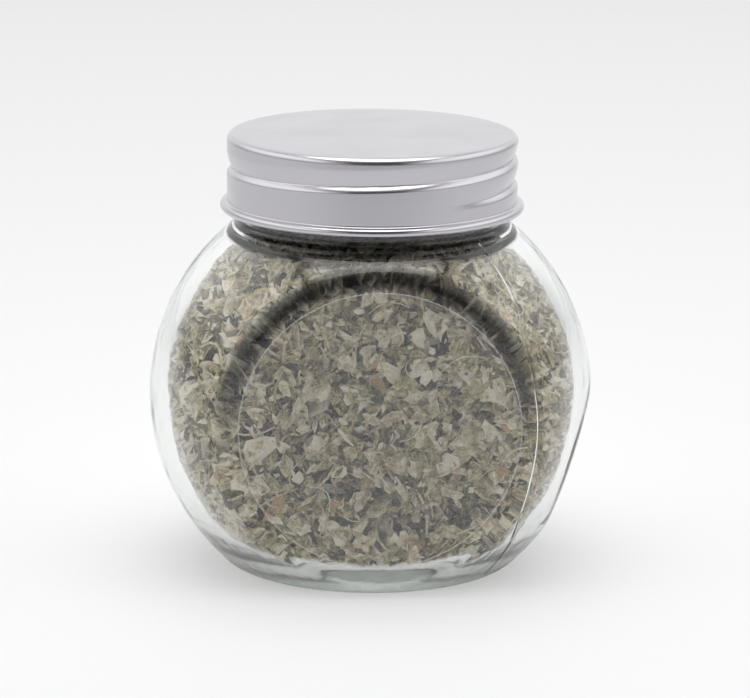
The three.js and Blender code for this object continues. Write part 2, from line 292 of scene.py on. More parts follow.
class Sheet:
    """Node sheet of a material or of the world, with short ways to add and join nodes."""

    def __init__(self, owner: bpy.types.ID, output: str = "OutputMaterial") -> None:
        """Empties the owner's node tree and gives it an output node."""
        owner.use_nodes = True
        self.owner = owner
        self.tree = owner.node_tree
        self.tree.nodes.clear()
        self.output = self.add(output)

    def add(self, kind: str, inputs: dict | None = None, **settings: object) -> bpy.types.Node:
        """Adds a node.

        Args:
            kind: node type without its ShaderNode prefix.
            inputs: socket name or place to a constant or to another node's output.
            settings: node properties.

        Returns:
            The node.
        """
        node = self.tree.nodes.new("ShaderNode" + kind)
        for key, value in settings.items():
            setattr(node, key, value)
        for key, value in (inputs or {}).items():
            if isinstance(value, Socket):
                self.tree.links.new(value, node.inputs[key])
            else:
                node.inputs[key].default_value = value
        return node

    def place(self) -> Socket:
        """Object coordinates."""
        return self.add("TexCoord").outputs["Object"]

    def part(self, vector: Socket, axis: str) -> Socket:
        """One coordinate of a vector."""
        return self.add("SeparateXYZ", {"Vector": vector}).outputs[axis]

    def math(self, operation: str, *values: Socket | float) -> Socket:
        """One sum, product or other operation on up to three values."""
        return self.add("Math", dict(enumerate(values)), operation=operation).outputs["Value"]

    def noise(self, vector: Socket, scale: float, detail: float = 3.0, rough: float = 0.5) -> Socket:
        """Noise texture's value output, scale in cycles per metre."""
        made = self.add("TexNoise", {"Vector": vector, "Scale": scale, "Detail": detail, "Roughness": rough})
        return made.outputs["Fac"]

    def spread(self, value: Socket, low: float, high: float, start: float = 0.3, end: float = 0.7,
               form: str = "LINEAR") -> Socket:
        """Value carried from the range start..end to low..high."""
        inputs = {"Value": value, "From Min": start, "From Max": end, "To Min": low, "To Max": high}
        return self.add("MapRange", inputs, interpolation_type=form).outputs["Result"]

    def step(self, value: Socket, span: Pair, low: float = 0.0, high: float = 1.0) -> Socket:
        """Smooth step over a span of a value, from low to high."""
        return self.spread(value, low, high, *span, "SMOOTHSTEP")

    def bump(self, height: Socket, strength: float, distance: float) -> Socket:
        """Bump node's normal output, distance in metres."""
        inputs = {"Height": height, "Strength": strength, "Distance": distance}
        return self.add("Bump", inputs).outputs["Normal"]

    def ramp(self, value: Socket, stops: Stops) -> Socket:
        """Colour ramp's colour output, from (position, linear colour) pairs."""
        node = self.add("ValToRGB", {"Fac": value})
        elements = node.color_ramp.elements
        while len(elements) < len(stops):
            elements.new(0.5)
        for element, (position, colour) in zip(elements, stops):
            element.position = position
            element.color = (*colour, 1.0)
        return node.outputs["Color"]

    def mix(self, share: Socket | float, a: Socket | Paint, b: Socket | Paint, blend: str = "MIX") -> Socket:
        """Colour mix of a and b, with share as how much of b."""
        factor, first, second, result = 0, 6, 7, 2
        node = self.add("Mix", data_type="RGBA", blend_type=blend)
        for place, value in ((factor, share), (first, a), (second, b)):
            if isinstance(value, Socket):
                self.tree.links.new(value, node.inputs[place])
            else:
                node.inputs[place].default_value = value
        return node.outputs[result]

    def principled(self, inputs: dict) -> Socket:
        """Principled shader's output."""
        return self.add("BsdfPrincipled", inputs).outputs["BSDF"]

    def finish(self, shader: Socket, volume: Socket | None = None) -> bpy.types.ID:
        """Joins the surface, and the volume if there is one, to the output, and returns the owner."""
        self.tree.links.new(shader, self.output.inputs["Surface"])
        if volume is not None:
            self.tree.links.new(volume, self.output.inputs["Volume"])
        return self.owner


def material_sheet(name: str) -> Sheet:
    """Node sheet of a new material."""
    return Sheet(bpy.data.materials.new(name))


@dataclass(frozen=True)
class ClearGlass:
    """Pressed clear glass: smooth, very slightly wavy, finely stippled at the base, faintly green in its depth."""

    tint: Paint = (0.972, 0.982, 0.975, 1.0)
    body_tint: Paint = (0.70, 0.80, 0.72, 1.0)
    shadow_tint: Paint = (0.93, 0.95, 0.94, 1.0)
    density: float = 11.0
    index: float = 1.51
    waves: Grain = (90.0, 2.0)
    haze: Grain = (700.0, 2.0)
    haze_rough: Pair = (0.0, 0.03)
    stipple: Grain = (1500.0, 1.0)
    stipple_fade: Spread = (1.0, 0.0, 5 * MM, 9 * MM)
    stipple_rough: float = 0.20
    stipple_height: float = 0.5
    swirl: Grain = (260.0, 4.0, 0.6)
    swirl_fade: Spread = (6.0, 0.0, 4 * MM, 10 * MM)
    relief: Pair = (0.10, 0.8 * MM)

    def material(self) -> bpy.types.Material:
        """Builds the material."""
        sheet = material_sheet("pressed_glass")
        place = sheet.place()
        height = sheet.part(place, "Z")
        low = sheet.spread(height, *self.stipple_fade)
        haze = sheet.spread(sheet.noise(place, *self.haze), *self.haze_rough)
        dots = sheet.math("MULTIPLY", sheet.noise(place, *self.stipple), low)
        dotted = sheet.math("MULTIPLY_ADD", dots, self.stipple_height, sheet.noise(place, *self.waves))
        swirls = sheet.math("MULTIPLY", sheet.noise(place, *self.swirl), sheet.spread(height, *self.swirl_fade))
        glass = sheet.principled({
            "Base Color": self.tint,
            "Roughness": sheet.math("MULTIPLY_ADD", low, self.stipple_rough, haze),
            "IOR": self.index,
            "Transmission Weight": 1.0,
            "Normal": sheet.bump(sheet.math("ADD", dotted, swirls), *self.relief),
        })
        clear = sheet.add("BsdfTransparent", {"Color": self.shadow_tint}).outputs["BSDF"]
        ray = sheet.add("LightPath").outputs["Is Shadow Ray"]
        surface = sheet.add("MixShader", {0: ray, 1: glass, 2: clear}).outputs["Shader"]
        depth = sheet.add("VolumeAbsorption", {"Color": self.body_tint, "Density": self.density})
        return sheet.finish(surface, depth.outputs["Volume"])


@dataclass(frozen=True)
class SatinAluminium:
    """Plain aluminium sheet with a satin face: faint rolling lines, a fine grain and cloudy soft highlights."""

    colour: Paint = (0.53, 0.52, 0.545, 1.0)
    line_stretch: Triple = (6.0, 2600.0, 1.0)
    lines: Grain = (1.0, 2.0)
    clouds: Grain = (60.0, 3.0)
    rough: Pair = (0.15, 0.27)
    grain: Grain = (3500.0, 2.0)
    relief: Pair = (0.45, 0.01 * MM)

    def material(self) -> bpy.types.Material:
        """Builds the material."""
        sheet = material_sheet("satin_aluminium")
        uv = sheet.add("UVMap", uv_map="strip").outputs["UV"]
        drawn = sheet.add("Mapping", {"Vector": uv, "Scale": self.line_stretch}).outputs["Vector"]
        place = sheet.place()
        height = sheet.math("ADD", sheet.noise(drawn, *self.lines), sheet.noise(place, *self.grain))
        return sheet.finish(sheet.principled({
            "Base Color": self.colour,
            "Metallic": 1.0,
            "Roughness": sheet.spread(sheet.noise(place, *self.clouds), *self.rough),
            "Normal": sheet.bump(height, *self.relief),
        }))


@dataclass(frozen=True)
class SealFoam:
    """Off-white soft sealing sheet with a fine closed-cell grain."""

    colour: Colour = (0.86, 0.85, 0.80)
    paler: float = 1.06
    cell_scale: float = 2500.0
    marks: Grain = (120.0, 4.0)
    rough: Pair = (0.55, 0.7)
    relief: Pair = (0.4, 0.05 * MM)

    def material(self) -> bpy.types.Material:
        """Builds the material."""
        sheet = material_sheet("seal_foam")
        place = sheet.place()
        cells = sheet.add("TexVoronoi", {"Vector": place, "Scale": self.cell_scale}).outputs["Distance"]
        marks = sheet.noise(place, *self.marks)
        pale = tuple(min(1.0, c * self.paler) for c in self.colour)
        return sheet.finish(sheet.principled({
            "Base Color": sheet.ramp(marks, ((0.3, self.colour), (0.7, pale))),
            "Roughness": sheet.spread(marks, *self.rough),
            "Normal": sheet.bump(cells, *self.relief),
        }))


@dataclass(frozen=True)
class ClearFilm:
    """Clear self-adhesive film: a thin milky veil with a glossy face and a paler cut edge."""

    colour: Paint = (0.66, 0.63, 0.62, 1.0)
    index: float = 1.46
    clouds: Grain = (70.0, 3.0)
    veil: Pair = (0.035 * 0.8, 0.035 * 1.25)
    edge_veil: Spread = (0.0, 0.34, 0.987, 0.996)
    haze: Grain = (400.0, 3.0)
    rough: Pair = (0.16, 0.26)
    ripples: Grain = (160.0, 2.0)
    relief: Pair = (0.10, 0.05 * MM)

    def material(self) -> bpy.types.Material:
        """Builds the material."""
        sheet = material_sheet("clear_film")
        place = sheet.place()
        out = sheet.part(sheet.add("UVMap", uv_map="disc").outputs["UV"], "X")
        edge = sheet.spread(out, *self.edge_veil)
        clouds = sheet.spread(sheet.noise(place, *self.clouds), *self.veil)
        return sheet.finish(sheet.principled({
            "Base Color": self.colour,
            "Roughness": sheet.spread(sheet.noise(place, *self.haze), *self.rough),
            "IOR": self.index,
            "Alpha": sheet.math("MAXIMUM", edge, clouds),
            "Normal": sheet.bump(sheet.noise(place, *self.ripples), *self.relief),
        }))


@dataclass(frozen=True)
class DriedLeaf:
    """Dry crinkled leaf: olive to khaki by each flake's tone and hue, mottled, veined, matt, darkened by painted
    shade.
    """

    green: Stops = (
        (0.00, (0.030, 0.028, 0.021)),
        (0.20, (0.098, 0.094, 0.062)),
        (0.42, (0.305, 0.275, 0.140)),
        (0.68, (0.625, 0.540, 0.320)),
        (1.00, (0.930, 0.850, 0.700)),
    )
    brown: Stops = (
        (0.00, (0.042, 0.030, 0.023)),
        (0.20, (0.142, 0.107, 0.074)),
        (0.42, (0.410, 0.320, 0.200)),
        (0.68, (0.735, 0.605, 0.425)),
        (1.00, (0.965, 0.870, 0.735)),
    )
    tan: Paint = (0.56, 0.36, 0.20, 1.0)
    brown_share: Spread = (0.0, 1.0, 0.25, 0.75)
    tan_share: Spread = (0.0, 0.8, 1.2, 1.4)
    mottle: Grain = (800.0, 4.0, 0.65)
    mottle_tone: Pair = (-0.25, 0.25)
    rib_tone: Spread = (0.14, 0.0, 0.02, 0.10)
    net_scale: float = 1100.0
    net_tone: Spread = (0.14, 0.0, 0.0, 0.12)
    folds: Grain = (520.0, 2.0)
    fold_tone: Spread = (0.24, 0.0, 0.0, 0.022)
    crinkle: Grain = (1300.0, 5.0, 0.7)
    rough: Pair = (0.50, 0.80)
    gloss: float = 0.4
    relief: Pair = (0.9, 0.4 * MM)

    def markings(self, sheet: Sheet, place: Socket, net: Socket) -> Socket:
        """What the mottle, the rib, the net of veins and the fold lines add to a flake's tone.

        Args:
            sheet: the node sheet.
            place: object coordinates.
            net: tone of the net of veins.

        Returns:
            The tone to add.
        """
        mottle = sheet.spread(sheet.noise(place, *self.mottle), *self.mottle_tone)
        across = sheet.part(sheet.add("UVMap", uv_map="blade").outputs["UV"], "Y")
        rib = sheet.spread(sheet.math("ABSOLUTE", across), *self.rib_tone)
        ridge = sheet.math("ABSOLUTE", sheet.math("SUBTRACT", sheet.noise(place, *self.folds), 0.5))
        fold = sheet.spread(ridge, *self.fold_tone)
        return sheet.math("ADD", sheet.math("ADD", sheet.math("ADD", mottle, rib), net), fold)

    def material(self) -> bpy.types.Material:
        """Builds the material."""
        sheet = material_sheet("dried_leaf")
        place = sheet.place()
        tone, hue, painted_shade = (
            sheet.add("Attribute", attribute_name=name).outputs["Fac"] for name in ("tone", "hue", "painted_shade")
        )
        cells = sheet.add("TexVoronoi", {"Vector": place, "Scale": self.net_scale}, feature="DISTANCE_TO_EDGE")
        net = sheet.spread(cells.outputs["Distance"], *self.net_tone)
        total = sheet.math("ADD", tone, self.markings(sheet, place, net))
        brown = sheet.spread(hue, *self.brown_share)
        colour = sheet.mix(brown, sheet.ramp(total, self.green), sheet.ramp(total, self.brown))
        colour = sheet.mix(sheet.spread(hue, *self.tan_share), colour, self.tan)
        crinkle = sheet.noise(place, *self.crinkle)
        return sheet.finish(sheet.principled({
            # Painted shade: the colour is multiplied by each point's painted shade attribute.
            "Base Color": sheet.mix(1.0, colour, painted_shade, "MULTIPLY"),
            "Roughness": sheet.spread(crinkle, *self.rough),
            "Specular IOR Level": self.gloss,
            "Normal": sheet.bump(sheet.math("ADD", crinkle, net), *self.relief),
        }))


@dataclass(frozen=True)
class PaleFloor:
    """Matt pale floor: a painted glow, a painted pool of light round the jar and painted shade in front."""

    # Painted pool of light: paler near the jar, darker further out.
    tones: Stops = (
        (0.08, (0.470, 0.470, 0.476)),
        (0.16, (0.436, 0.436, 0.442)),
        (0.42, (0.384, 0.384, 0.390)),
        (0.80, (0.332, 0.332, 0.338)),
        (1.00, (0.300, 0.300, 0.306)),
    )
    # Painted shade: the floor is darker and glows less in front.
    front: Paint = (0.30, 0.30, 0.306, 1.0)
    front_shade_share: Spread = (1.0, 0.0, -0.9, -0.25)
    front_painted_glow: Spread = (1.0, 0.4, 0.0, 1.0)
    # Painted glow: the floor gives off light though it is no lamp.
    glow: float = 0.36
    tooth: Grain = (900.0, 2.0)
    rough: Pair = (0.6, 0.75)
    gloss: float = 0.2
    relief: Pair = (0.05, 0.02 * MM)

    def material(self) -> bpy.types.Material:
        """Builds the material."""
        sheet = material_sheet("pale_floor")
        place = sheet.place()
        tooth = sheet.noise(place, *self.tooth)
        out = sheet.add("VectorMath", {0: place}, operation="LENGTH").outputs["Value"]
        ahead = sheet.spread(sheet.part(place, "Y"), *self.front_shade_share)
        return sheet.finish(sheet.principled({
            "Base Color": sheet.mix(ahead, sheet.ramp(out, self.tones), self.front),
            "Roughness": sheet.spread(tooth, *self.rough),
            "Specular IOR Level": self.gloss,
            "Emission Color": WHITE,
            "Emission Strength": sheet.math("MULTIPLY", sheet.spread(ahead, *self.front_painted_glow), self.glow),
            "Normal": sheet.bump(tooth, *self.relief),
        }))


# ---------------------------------------- globe


@dataclass(frozen=True)
class Flat:
    """A plane pressed into the globe: where it faces, its distance from the globe's centre, wall and roundings."""

    normal: Triple
    distance: float
    wall: float
    blend: float
    inner_blend: float


def side_direction(azimuth: float, dip: float) -> Triple:
    """Unit direction from an azimuth and a dip below the horizontal, both in degrees."""
    a, d = math.radians(azimuth), math.radians(dip)
    return (math.cos(d) * math.cos(a), math.cos(d) * math.sin(a), -math.sin(d))


@dataclass(frozen=True)
class Globe:
    """The globe that the glass and its filling share: a sphere with two flats pressed into it."""

    radius: float = 49.92 * MM
    wall: float = 3.9 * MM
    flats: tuple[Flat, ...] = (
        Flat((0.0, -1.0, 0.0), 36.1 * MM, 5 * MM, 1.7 * MM, 3 * MM),
        Flat(side_direction(-6.0, 17.6), 47.1 * MM, 3.4 * MM, 1 * MM, 1.5 * MM),
    )
    least_facing: float = 0.05
    rim_reach: float = math.radians(10.0)
    rim_pull: float = 1.8

    @property
    def inner(self) -> float:
        """Radius of the inner wall."""
        return self.radius - self.wall

    def flattened(self, reach: Array, direction: Array, inside: bool, margin: float = 0.0) -> Array:
        """Reach from the globe's centre once the flats have cut it.

        Formula: soft_min(reach, (distance - inset) / (n . direction)) for each flat in turn.

        Args:
            reach: (...,) lengths from the centre.
            direction: (..., 3) unit directions.
            inside: whether it is the inner wall.
            margin: how far inside the wall to stay.

        Returns:
            (...,) lengths.
        """
        for flat in self.flats:
            facing = direction @ np.asarray(flat.normal)
            inset = (flat.wall if inside else 0.0) + margin
            plane = (flat.distance - inset) / np.maximum(facing, self.least_facing)
            plane = np.where(facing > self.least_facing, plane, 10 * self.radius)
            reach = soft_min(reach, plane, flat.inner_blend if inside else flat.blend)
        return reach

    def drawn_to_rims(self, points: Array, inside: bool) -> Array:
        """Slides points of the bare sphere towards the rims of the flats, so that the grid follows each rim.

        Formula: the angle b from the flat's normal becomes rim + reach * sign(t) |t|^pull, t = (b - rim) / reach,
        wherever |t| < 1.

        Args:
            points: (..., 3) points round the globe's centre.
            inside: whether they lie on the inner wall.

        Returns:
            (..., 3) points at the same distance from the centre.
        """
        for flat in self.flats:
            normal = np.asarray(flat.normal)
            size = np.linalg.norm(points, axis=-1)
            inset = flat.wall if inside else 0.0
            rim = np.arccos(np.clip((flat.distance - inset) / size, -1, 1))
            cosine = np.clip(points @ normal / size, -1, 1)
            away = np.arccos(cosine)
            t = (away - rim) / self.rim_reach
            drawn = rim + self.rim_reach * np.sign(t) * np.abs(t) ** self.rim_pull
            angle = np.where(np.abs(t) < 1, drawn, away)[..., None]
            across = unit(points - (size * cosine)[..., None] * normal)
            points = size[..., None] * (np.cos(angle) * normal + np.sin(angle) * across)
        return points


# ---------------------------------------- threads


@dataclass(frozen=True)
class Thread:
    """A right-handed ridge or groove that climbs round the axis and fades at both ends."""

    start: float
    sweep: float
    z: float
    below: float
    above: float
    depth: float
    run_in: float
    crease: float = 0.0

    def height(self, angle: Array, z: Array) -> Array:
        """How far the thread stands out.

        Formula: depth * fade * h(s), where s is the height over the helix divided by the half width on that side,
        h is cos^2(pi s / 2), or (1 - s)^crease where the middle is creased, the helix climbs by the pitch each
        turn, and fade runs from 0 to 1 over the run-in.

        Args:
            angle: angles from +X.
            z: heights.

        Returns:
            Heights of the thread, same shape.
        """
        height = np.zeros(np.broadcast(angle, z).shape)
        for turn in range(-1, 3):
            along = angle + turn * TURN - self.start
            off = z - self.z - PITCH * along / TURN
            s = np.minimum(np.where(off > 0, off / self.above, -off / self.below), 1.0)
            fade = eased(np.minimum(along, self.sweep - along) / self.run_in)
            form = (1 - s) ** self.crease if self.crease else np.cos(s * math.pi / 2) ** 2
            height = np.maximum(height, self.depth * fade * form)
        return height


# ---------------------------------------- glass jar


@dataclass
class GlassJar:
    """The jar's one piece of glass: globe, flats, heel, ring, shoulder, neck with its thread, and the inside."""

    globe: Globe = Globe()
    columns: int = 288
    heel: Pair = (33.2 * MM, 0.1 * MM)
    heel_z: float = 2.2 * MM
    ring: Pair = (27.5 * MM, 30 * MM)
    push_up: Pair = (23.5 * MM, 1.8 * MM)
    push_up_bend_r: float = 26.4 * MM
    floor_r: float = 27 * MM
    floor_z: float = 5 * MM
    floor_crown_z: float = 6.2 * MM
    inner_heel_z: float = 14 * MM
    shoulder_r: float = 31.4 * MM
    neck_r: float = 30.2 * MM
    neck_foot_z: float = 79.2 * MM
    bore_r: float = 27.4 * MM
    bore_foot_z: float = 75.6 * MM
    shelf_bend: Pair = (27.7 * MM, 73.5 * MM)
    inner_shoulder_r: float = 30.3 * MM
    rim_z: float = 95.9 * MM
    rim_round: float = 0.6 * MM
    seam_angles: Pair = (math.radians(-45.0), math.radians(135.0))
    seam_offsets: tuple[float, ...] = (-0.9, -0.55, -0.35, -0.2, 0.0, 0.2, 0.35, 0.55, 0.9)
    seam_clearance: float = 0.25 * MM
    seam_height: float = 0.14 * MM
    seam_width: float = 0.30 * MM
    rib_count: int = 84
    rib_height: float = 0.12 * MM
    rib_half_width: float = 2.4 * MM
    rib_top_z: float = 1 * MM
    thread: Thread = Thread(
        start=math.radians(-100),
        sweep=math.radians(380),
        z=86 * MM + PITCH * (0.5 - 36 / 360),
        below=1.3 * MM,
        above=1.3 * MM,
        depth=1.0 * MM,
        run_in=math.radians(25),
    )

    def angles(self) -> Array:
        """Sorted column angles: even all round, with a close group on each mould seam."""
        even = round_angles(self.columns)
        offsets = np.array(self.seam_offsets) * MM / self.globe.radius
        close = (np.asarray(self.seam_angles)[:, None] + offsets).ravel() % TURN
        gap = np.abs((even[:, None] - close + math.pi) % TURN - math.pi).min(1)
        return np.sort(np.concatenate([even[gap > self.seam_clearance / self.globe.radius], close]))

    def outside(self) -> tuple[Array, slice]:
        """Outer wall from under the base to the rim.

        Returns:
            (profile, rows): (R, 2) of (rho, z), and its rows that lie on the bare sphere.
        """
        radius = self.globe.radius
        low = math.acos((GLOBE_Z - self.heel_z) / radius)
        high = math.pi - math.asin(self.shoulder_r / radius)
        ball = arc((0.0, GLOBE_Z), radius, low, high, 96)
        top = ball[-1]
        slope = (self.shoulder_r - self.neck_r) * self.shoulder_r / (top[1] - GLOBE_Z)
        before = joined(
            line((0.0, self.push_up[1]), self.push_up, 8),
            bend(self.push_up, (self.push_up_bend_r, self.push_up[1]), (self.ring[0], 0.0), 6),
            line((self.ring[0], 0.0), (self.ring[1], 0.0), 5),
            bend((self.ring[1], 0.0), self.heel, ball[0], 9),
        )
        neck, rim = self.neck_r, self.rim_z
        after = joined(
            bend(top, (neck, top[1] + slope), (neck, self.neck_foot_z), 10),
            line((neck, self.neck_foot_z), (neck, rim - self.rim_round), 44),
            bend((neck, rim - self.rim_round), (neck, rim), (neck - self.rim_round, rim), 5),
        )
        return joined(before, ball, after), slice(len(before) - 1, len(before) + len(ball) - 1)

    def inner_floor(self) -> Array:
        """Inner profile from the heel to the middle of the floor: a rounded corner, then a low dome.

        Formula: the corner bends through the point where the sphere's tangent at the heel meets the floor's height.

        Returns:
            (R, 2) array of (rho, z).
        """
        under = GLOBE_Z - self.inner_heel_z
        heel_r = math.sqrt(self.globe.inner**2 - under**2)
        through = (heel_r - (self.inner_heel_z - self.floor_z) * under / heel_r, self.floor_z)
        t = np.linspace(1.0, 0.0, 9)
        dome = np.stack([self.floor_r * t, self.floor_crown_z - (self.floor_crown_z - self.floor_z) * t * t], 1)
        return joined(bend((heel_r, self.inner_heel_z), through, (self.floor_r, self.floor_z), 10), dome)

    def inside(self) -> tuple[Array, slice]:
        """Inner wall from the rim to the middle of the floor.

        Returns:
            (profile, rows): (R, 2) of (rho, z), and its rows that lie on the bare sphere.
        """
        inner = self.globe.inner
        high = math.pi - math.asin(self.inner_shoulder_r / inner)
        low = math.acos((GLOBE_Z - self.inner_heel_z) / inner)
        ball = arc((0.0, GLOBE_Z), inner, high, low, 64)
        bore, rim = self.bore_r, self.rim_z
        before = joined(
            bend((bore + self.rim_round, rim), (bore, rim), (bore, rim - self.rim_round), 5),
            line((bore, rim - self.rim_round), (bore, self.bore_foot_z), 12),
            bend((bore, self.bore_foot_z), self.shelf_bend, ball[0], 12),
        )
        return joined(before, ball, self.inner_floor()), slice(len(before) - 1, len(before) + len(ball) - 1)

    def seams(self, angles: Array) -> Array:
        """How far the mould seams stand out at each angle: height * exp(-(arc / width)^2) for each seam."""
        off = (angles - np.array(self.seam_angles)[:, None] + math.pi) % TURN - math.pi
        return self.seam_height * np.exp(-((off * self.globe.radius / self.seam_width) ** 2)).sum(0)

    def skin(self, profile: Array, on_ball: slice, inside: bool) -> Array:
        """Grid of one wall of the glass, shaped by the flats, seams, ribs and thread.

        Formula: the turned profile, its reach from the globe's centre cut by the flats; on the outer wall the
        seams stand out of the globe and the bearing ring rises by height * sin^2(ribs * a / 2).

        Args:
            profile: (R, 2) array of (rho, z).
            on_ball: rows on the bare sphere.
            inside: whether it is the inner wall.

        Returns:
            (R, C, 3) points round the jar's axis.
        """
        angles = self.angles()
        grid = swept(profile, angles) - CENTRE
        grid[on_ball] = self.globe.drawn_to_rims(grid[on_ball], inside)
        reach = np.linalg.norm(grid, axis=2)
        outward = grid / reach[..., None]
        body = profile[:, 1:] < self.neck_foot_z
        cut = self.globe.flattened(reach, outward, inside)
        if not inside:
            cut[on_ball] += self.seams(angles)
        grid = outward * np.where(body, cut, reach)[..., None]
        grid[..., 2] += GLOBE_Z
        if not inside:
            rho = np.maximum(np.hypot(grid[..., 0], grid[..., 1]), TINY)
            stands = np.where(body, 0.0, self.thread.height(angles[None], profile[:, 1:]))
            grid[..., :2] *= ((rho + stands) / rho)[..., None]
            near = np.clip(1 - np.abs(rho - sum(self.ring) / 2) / self.rib_half_width, 0, 1)
            ribs = near * self.rib_height * np.sin(self.rib_count * angles / 2) ** 2
            grid[..., 2] += np.where(grid[..., 2] < self.rib_top_z, ribs, 0.0)
        return grid

    def build(self) -> None:
        """Builds and dresses the glass."""
        grid = np.concatenate([self.skin(*self.outside(), False), self.skin(*self.inside(), True)])
        points, faces = closed_skin(grid)
        piece = mesh_object("jar_glass", points + AXIS, faces, True, ClearGlass().material())
        on_body(piece, Body.JAR, Slot.GLASS, "glass_jar")


# ---------------------------------------- lid, liner and label


@dataclass
class ScrewLid:
    """Lid pressed from one aluminium sheet: flat top, rounded edge, rolled thread groove, curled bead."""

    radius: float = 32.5 * MM
    top_z: float = 97.7 * MM
    sheet: float = 0.5 * MM
    edge: float = 1.5 * MM
    bead_r: float = 33 * MM
    bead_z: float = 81.5 * MM
    bead_tube: float = 1 * MM
    bead_drop: float = 0.55 * MM
    curl_start: float = -0.30 * math.pi
    curl_end: float = 0.86 * math.pi
    crease: Pair = (0.12 * MM, 0.02 * MM)
    crease_above: float = 0.5 * MM
    slack: float = 0.01 * MM
    columns: int = 256
    groove: Thread = Thread(
        start=math.radians(-64),
        sweep=math.radians(450),
        z=86.4 * MM,
        below=1.3 * MM,
        above=3.8 * MM,
        depth=1.0 * MM,
        run_in=math.radians(40),
        crease=1.5,
    )

    def profile(self) -> tuple[Array, Array]:
        """Closed section of the sheet from the middle of its underside round the bead to the middle of its top.

        Returns:
            (points, groove_share): (R, 2) of (rho, z), and how much of the groove each row takes.
        """
        inner = self.radius - self.sheet
        wall_top = self.top_z - self.edge
        corner = (self.radius - self.edge, wall_top)
        bead = (self.bead_r, self.bead_z)
        foot = self.bead_z + self.bead_tube
        curl = arc(bead, self.bead_tube, self.curl_start, self.curl_end, 26)
        wall_foot = (self.radius, foot + self.crease_above)
        points = joined(
            line((0.0, self.top_z - self.sheet), (corner[0], self.top_z - self.sheet), 8),
            arc(corner, self.edge - self.sheet, math.pi, math.pi / 2, 8),
            line((inner, wall_top), (inner, foot), 30),
            line((inner, foot), (inner, self.bead_z - self.bead_drop), 4),
            curl,
            bend(curl[-1], (self.radius - self.crease[0], foot - self.crease[1]), wall_foot, 7),
            line(wall_foot, (self.radius, wall_top), 72),
            arc(corner, self.edge, math.pi / 2, math.pi, 12),
            line((corner[0], self.top_z), (0.0, self.top_z), 16),
        )
        rho, z = points.T
        upright = np.abs(rho - self.radius + self.sheet / 2) < self.sheet / 2 + self.slack
        return points, (upright & (z > foot) & (z < wall_top + self.slack)).astype(float)

    def build(self) -> None:
        """Builds and dresses the lid, with a map named strip: turns round the lid, metres along the section."""
        profile, share = self.profile()
        angles = round_angles(self.columns)
        grid = swept(profile, angles)
        rho = np.maximum(np.hypot(grid[..., 0], grid[..., 1]), TINY)
        depth = share[:, None] * self.groove.height(angles[None], profile[:, 1:])
        grid[..., :2] *= ((rho - depth) / rho)[..., None]
        points, faces = closed_skin(grid)
        piece = mesh_object("lid_shell", points + AXIS, faces, True, SatinAluminium().material())
        length = np.concatenate([[0.0], np.cumsum(np.linalg.norm(np.diff(profile, axis=0), axis=1))])
        u = np.concatenate([np.tile(np.arange(self.columns) / self.columns, len(profile) - 2), [0.5, 0.5]])
        v = np.concatenate([np.repeat(length[1:-1], self.columns), [length[0], length[-1]]])
        mapped(piece, "strip", np.stack([u, v], 1), wraps=True)
        on_body(piece, Body.LID, Slot.LID, "screw_lid")


@dataclass
class LidLiner:
    """The sealing disc inside the lid: the frame's own solid, with its foam finish."""

    node: str = "lid_liner"

    def dress(self) -> None:
        """Gives the frame's liner its finish."""
        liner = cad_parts[self.node]
        liner.data.materials.clear()
        liner.data.materials.append(SealFoam().material())
        LOG.info("%s: frame solid dressed", self.node)


@dataclass
class PanelLabel:
    """Round film on the flat panel, left plain."""

    radius: float = 31 * MM
    front_y: float = -36.5 * MM
    thickness: float = 0.25 * MM
    edge: float = 0.1 * MM
    rings: int = 20
    columns: int = 192

    def build(self) -> None:
        """Builds the film: a disc with rounded edges, turned round the panel's axis."""
        r, e, t = self.radius, self.edge, self.thickness
        profile = joined(
            line((0.0, 0.0), (r - e, 0.0), self.rings),
            bend((r - e, 0.0), (r, 0.0), (r, e), 5),
            bend((r, t - e), (r, t), (r - e, t), 5),
            line((r - e, t), (0.0, t), self.rings),
        )
        points, faces = closed_skin(swept(profile, round_angles(self.columns)))
        turned = np.stack([points[:, 0], self.front_y + t - points[:, 2], GLOBE_Z + points[:, 1]], 1)
        piece = mesh_object("label_film", turned + AXIS, faces, True, ClearFilm().material())
        out = np.hypot(points[:, 0], points[:, 1]) / r
        mapped(piece, "disc", np.stack([out, points[:, 2] / t], 1))
        on_body(piece, Body.JAR, Slot.FILM, "panel_label")


# ---------------------------------------- filling


@dataclass(frozen=True)
class BladeForm:
    """Form of the leaf flakes: lengths in millimetres, ranges of the random draws, tones of the rim and underside."""

    corners: int = 8
    length: float = 4.7
    length_spread: float = 0.36
    length_range: Pair = (1.9, 9.5)
    jitter: float = 0.32
    ragged: Pair = (0.62, 1.18)
    slender_share: float = 0.22
    slender: Pair = (0.18, 0.32)
    broad: Pair = (0.42, 0.85)
    ring: Pair = (0.42, 0.62)
    fold: float = 0.35
    curl: Triple = (0.55, 0.9, 0.6)
    crumple: float = 0.035
    thickness: Pair = (0.05, 0.09)
    rim_tone: float = 0.14
    # Painted shade: the undersides, turned into the filling, are darker.
    under_shade_tone: float = -0.16


@dataclass(frozen=True)
class CrumbForm:
    """Form of the crumbs: lengths in millimetres and ranges of the random draws."""

    sides: int = 5
    size: Pair = (0.5, 1.5)
    jitter: float = 0.3
    reach: Pair = (0.5, 1.0)
    uneven: float = 0.15
    tip: float = 0.12
    depth: Pair = (0.1, 3.0)
    tilt: Pair = (0.0, 1.4)


